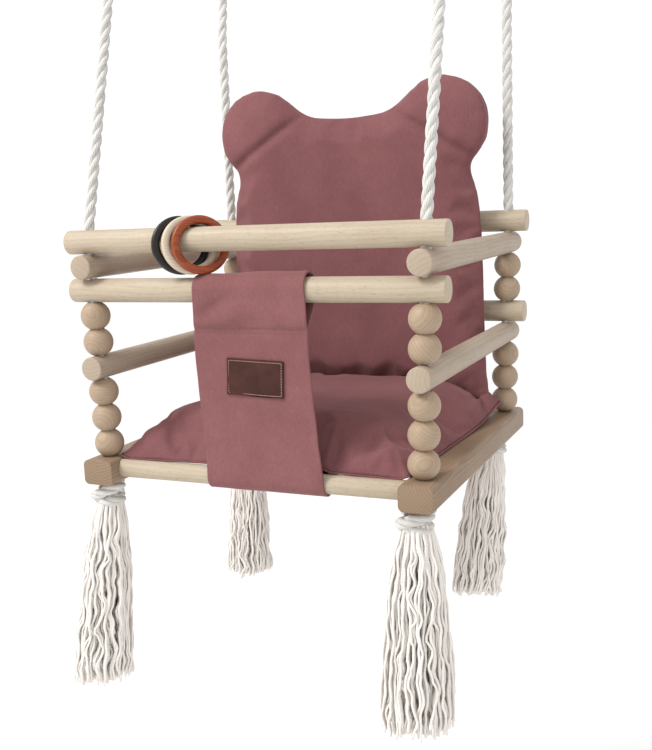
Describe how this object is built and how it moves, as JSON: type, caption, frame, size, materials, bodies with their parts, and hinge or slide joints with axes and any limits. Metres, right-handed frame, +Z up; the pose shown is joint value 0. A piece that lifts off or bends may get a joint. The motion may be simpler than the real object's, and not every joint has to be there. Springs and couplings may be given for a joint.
{
  "type": "hanging toddler swing",
  "caption": "Wooden toddler swing hung on four cotton ropes, with beaded corners, round safety bars, a back and seat cushion, a crotch flap, play rings and tassels.",
  "frame": {"origin": "middle of the four hanging points, on the ceiling plane that the fittings screw to", "axes": "+Z up, -Y the way the child faces, +X to the viewer's right when facing the front"},
  "size_m": [0.4758, 0.4397, 1.0918],
  "materials": {
    "bar_wood": "pale beech, fine sanded, unvarnished",
    "bead_wood": "pale beech, turned and smooth",
    "beam_wood": "darker beech, sanded, edges rounded",
    "rope_cotton": "three-strand twisted cotton",
    "tassel_yarn": "loose wavy cotton yarn",
    "cushion_cloth": "dusty plum suede-like cloth",
    "flap_cloth": "dusty rose suede-like cloth",
    "patch_leather": "dark brown, smooth, stitched edge",
    "ring_black": "black stained, satin",
    "ring_natural": "natural, satin",
    "ring_orange": "terracotta stained, satin",
    "fitting_steel": "zinc plated"
  },
  "bodies": {
    "root": {"ceiling_eye_front_left": "fitting_steel", "ceiling_eye_front_right": "fitting_steel", "ceiling_eye_back_left": "fitting_steel", "ceiling_eye_back_right": "fitting_steel"},
    "front_ropes": {"rope_front_left": "rope_cotton", "rope_front_right": "rope_cotton"},
    "front_top_bar": {"front_top_bar": "bar_wood"},
    "seat": {"left_beam": "beam_wood", "left_lower_side_bar": "bar_wood", "left_upper_side_bar": "bar_wood", "right_beam": "beam_wood", "right_lower_side_bar": "bar_wood", "right_upper_side_bar": "bar_wood", "front_second_bar": "bar_wood", "back_second_bar": "bar_wood", "seat_rod_1": "bar_wood", "seat_rod_2": "bar_wood", "seat_rod_3": "bar_wood", "seat_rod_4": "bar_wood", "seat_rod_5": "bar_wood", "knotted_rope_front_left": "rope_cotton", "knotted_rope_front_right": "rope_cotton", "knotted_rope_back_left": "rope_cotton", "knotted_rope_back_right": "rope_cotton", "seat_cushion": "cushion_cloth", "back_cushion": "cushion_cloth", "front_flap": "flap_cloth", "leather_patch": "patch_leather", "left_tie_loop": "cushion_cloth", "right_tie_loop": "cushion_cloth"},
    "back_ropes": {"back_top_bar": "bar_wood", "rope_back_left": "rope_cotton", "rope_back_right": "rope_cotton"},
    "tassel_front_left": {"tassel_front_left": "tassel_yarn"},
    "bead_front_left_1": {"bead_front_left_1": "bead_wood"},
    "bead_front_left_2": {"bead_front_left_2": "bead_wood"},
    "bead_front_left_3": {"bead_front_left_3": "bead_wood"},
    "bead_front_left_4": {"bead_front_left_4": "bead_wood"},
    "bead_front_left_5": {"bead_front_left_5": "bead_wood"},
    "tassel_front_right": {"tassel_front_right": "tassel_yarn"},
    "bead_front_right_1": {"bead_front_right_1": "bead_wood"},
    "bead_front_right_2": {"bead_front_right_2": "bead_wood"},
    "bead_front_right_3": {"bead_front_right_3": "bead_wood"},
    "bead_front_right_4": {"bead_front_right_4": "bead_wood"},
    "bead_front_right_5": {"bead_front_right_5": "bead_wood"},
    "tassel_back_left": {"tassel_back_left": "tassel_yarn"},
    "bead_back_left_1": {"bead_back_left_1": "bead_wood"},
    "bead_back_left_2": {"bead_back_left_2": "bead_wood"},
    "bead_back_left_3": {"bead_back_left_3": "bead_wood"},
    "bead_back_left_4": {"bead_back_left_4": "bead_wood"},
    "bead_back_left_5": {"bead_back_left_5": "bead_wood"},
    "tassel_back_right": {"tassel_back_right": "tassel_yarn"},
    "bead_back_right_1": {"bead_back_right_1": "bead_wood"},
    "bead_back_right_2": {"bead_back_right_2": "bead_wood"},
    "bead_back_right_3": {"bead_back_right_3": "bead_wood"},
    "bead_back_right_4": {"bead_back_right_4": "bead_wood"},
    "bead_back_right_5": {"bead_back_right_5": "bead_wood"},
    "black_ring": {"black_ring": "ring_black"},
    "natural_ring": {"natural_ring": "ring_natural"},
    "orange_ring": {"orange_ring": "ring_orange"}
  },
  "joints": [
    {"name": "front_rope_swing", "type": "hinge", "parent": "root", "child": "front_ropes", "pos_m": [0, -0.112, -0.045], "axis": [1, 0, 0], "range_deg": [-12, 12]},
    {"name": "seat_swing", "type": "hinge", "parent": "front_ropes", "child": "seat", "pos_m": [0, -0.19287, -0.539], "axis": [1, 0, 0], "range_deg": [-9, 9]},
    {"name": "back_rope_swing", "type": "hinge", "parent": "seat", "child": "back_ropes", "pos_m": [0, 0.15521, -0.50241], "axis": [1, 0, 0], "range_deg": [-10, 10]},
    {"name": "front_bar_lift", "type": "slide", "parent": "front_ropes", "child": "front_top_bar", "axis": [0, 0.1616, 0.9869], "range_m": [0, 0.2]},
    {"name": "black_ring_slide", "type": "slide", "parent": "front_top_bar", "child": "black_ring", "axis": [1, 0, 0], "range_m": [-0.08, 0.02]},
    {"name": "natural_ring_slide", "type": "slide", "parent": "black_ring", "child": "natural_ring", "axis": [1, 0, 0], "range_m": [0, 0.09]},
    {"name": "orange_ring_slide", "type": "slide", "parent": "natural_ring", "child": "orange_ring", "axis": [1, 0, 0], "range_m": [0, 0.09]},
    {"name": "bead_front_left_1_spin", "type": "hinge", "parent": "seat", "child": "bead_front_left_1", "pos_m": [-0.19955, -0.1677, -0.77848], "axis": [0, -0.1045, 0.9945], "continuous": true},
    {"name": "bead_front_left_2_spin", "type": "hinge", "parent": "seat", "child": "bead_front_left_2", "pos_m": [-0.20065, -0.171, -0.74715], "axis": [0, -0.1045, 0.9945], "continuous": true},
    {"name": "bead_front_left_3_spin", "type": "hinge", "parent": "seat", "child": "bead_front_left_3", "pos_m": [-0.20174, -0.17429, -0.71582], "axis": [0, -0.1045, 0.9945], "continuous": true},
    {"name": "bead_front_left_4_spin", "type": "hinge", "parent": "seat", "child": "bead_front_left_4", "pos_m": [-0.20382, -0.18054, -0.65635], "axis": [0, -0.1045, 0.9945], "continuous": true},
    {"name": "bead_front_left_5_spin", "type": "hinge", "parent": "seat", "child": "bead_front_left_5", "pos_m": [-0.20492, -0.18383, -0.62502], "axis": [0, -0.1045, 0.9945], "continuous": true},
    {"name": "bead_front_right_1_spin", "type": "hinge", "parent": "seat", "child": "bead_front_right_1", "pos_m": [0.19955, -0.1677, -0.77848], "axis": [0, -0.1045, 0.9945], "continuous": true},
    {"name": "bead_front_right_2_spin", "type": "hinge", "parent": "seat", "child": "bead_front_right_2", "pos_m": [0.20065, -0.171, -0.74715], "axis": [0, -0.1045, 0.9945], "continuous": true},
    {"name": "bead_front_right_3_spin", "type": "hinge", "parent": "seat", "child": "bead_front_right_3", "pos_m": [0.20174, -0.17429, -0.71582], "axis": [0, -0.1045, 0.9945], "continuous": true},
    {"name": "bead_front_right_4_spin", "type": "hinge", "parent": "seat", "child": "bead_front_right_4", "pos_m": [0.20382, -0.18054, -0.65635], "axis": [0, -0.1045, 0.9945], "continuous": true},
    {"name": "bead_front_right_5_spin", "type": "hinge", "parent": "seat", "child": "bead_front_right_5", "pos_m": [0.20492, -0.18383, -0.62502], "axis": [0, -0.1045, 0.9945], "continuous": true},
    {"name": "bead_back_left_1_spin", "type": "hinge", "parent": "seat", "child": "bead_back_left_1", "pos_m": [-0.19955, 0.18038, -0.74189], "axis": [0, -0.1045, 0.9945], "continuous": true},
    {"name": "bead_back_left_2_spin", "type": "hinge", "parent": "seat", "child": "bead_back_left_2", "pos_m": [-0.20065, 0.17709, -0.71057], "axis": [0, -0.1045, 0.9945], "continuous": true},
    {"name": "bead_back_left_3_spin", "type": "hinge", "parent": "seat", "child": "bead_back_left_3", "pos_m": [-0.20174, 0.17379, -0.67924], "axis": [0, -0.1045, 0.9945], "continuous": true},
    {"name": "bead_back_left_4_spin", "type": "hinge", "parent": "seat", "child": "bead_back_left_4", "pos_m": [-0.20481, 0.16459, -0.59162], "axis": [0, -0.1045, 0.9945], "continuous": true},
    {"name": "bead_back_left_5_spin", "type": "hinge", "parent": "seat", "child": "bead_back_left_5", "pos_m": [-0.2059, 0.16129, -0.56029], "axis": [0, -0.1045, 0.9945], "continuous": true},
    {"name": "bead_back_right_1_spin", "type": "hinge", "parent": "seat", "child": "bead_back_right_1", "pos_m": [0.19955, 0.18038, -0.74189], "axis": [0, -0.1045, 0.9945], "continuous": true},
    {"name": "bead_back_right_2_spin", "type": "hinge", "parent": "seat", "child": "bead_back_right_2", "pos_m": [0.20065, 0.17709, -0.71057], "axis": [0, -0.1045, 0.9945], "continuous": true},
    {"name": "bead_back_right_3_spin", "type": "hinge", "parent": "seat", "child": "bead_back_right_3", "pos_m": [0.20174, 0.17379, -0.67924], "axis": [0, -0.1045, 0.9945], "continuous": true},
    {"name": "bead_back_right_4_spin", "type": "hinge", "parent": "seat", "child": "bead_back_right_4", "pos_m": [0.20481, 0.16459, -0.59162], "axis": [0, -0.1045, 0.9945], "continuous": true},
    {"name": "bead_back_right_5_spin", "type": "hinge", "parent": "seat", "child": "bead_back_right_5", "pos_m": [0.2059, 0.16129, -0.56029], "axis": [0, -0.1045, 0.9945], "continuous": true},
    {"name": "tassel_front_left_swing", "type": "hinge", "parent": "seat", "child": "tassel_front_left", "pos_m": [-0.19701, -0.16005, -0.85128], "axis": [1, 0, 0], "range_deg": [-25, 25]},
    {"name": "tassel_front_right_swing", "type": "hinge", "parent": "seat", "child": "tassel_front_right", "pos_m": [0.19701, -0.16005, -0.85128], "axis": [1, 0, 0], "range_deg": [-25, 25]},
    {"name": "tassel_back_left_swing", "type": "hinge", "parent": "seat", "child": "tassel_back_left", "pos_m": [-0.19701, 0.18803, -0.81469], "axis": [1, 0, 0], "range_deg": [-25, 25]},
    {"name": "tassel_back_right_swing", "type": "hinge", "parent": "seat", "child": "tassel_back_right", "pos_m": [0.19701, 0.18803, -0.81469], "axis": [1, 0, 0], "range_deg": [-25, 25]}
  ],
  "couplings": [
    {"joint": "seat_swing", "follows": "front_rope_swing", "ratio": -0.6374},
    {"joint": "back_rope_swing", "follows": "front_rope_swing", "ratio": 0.6886}
  ]
}
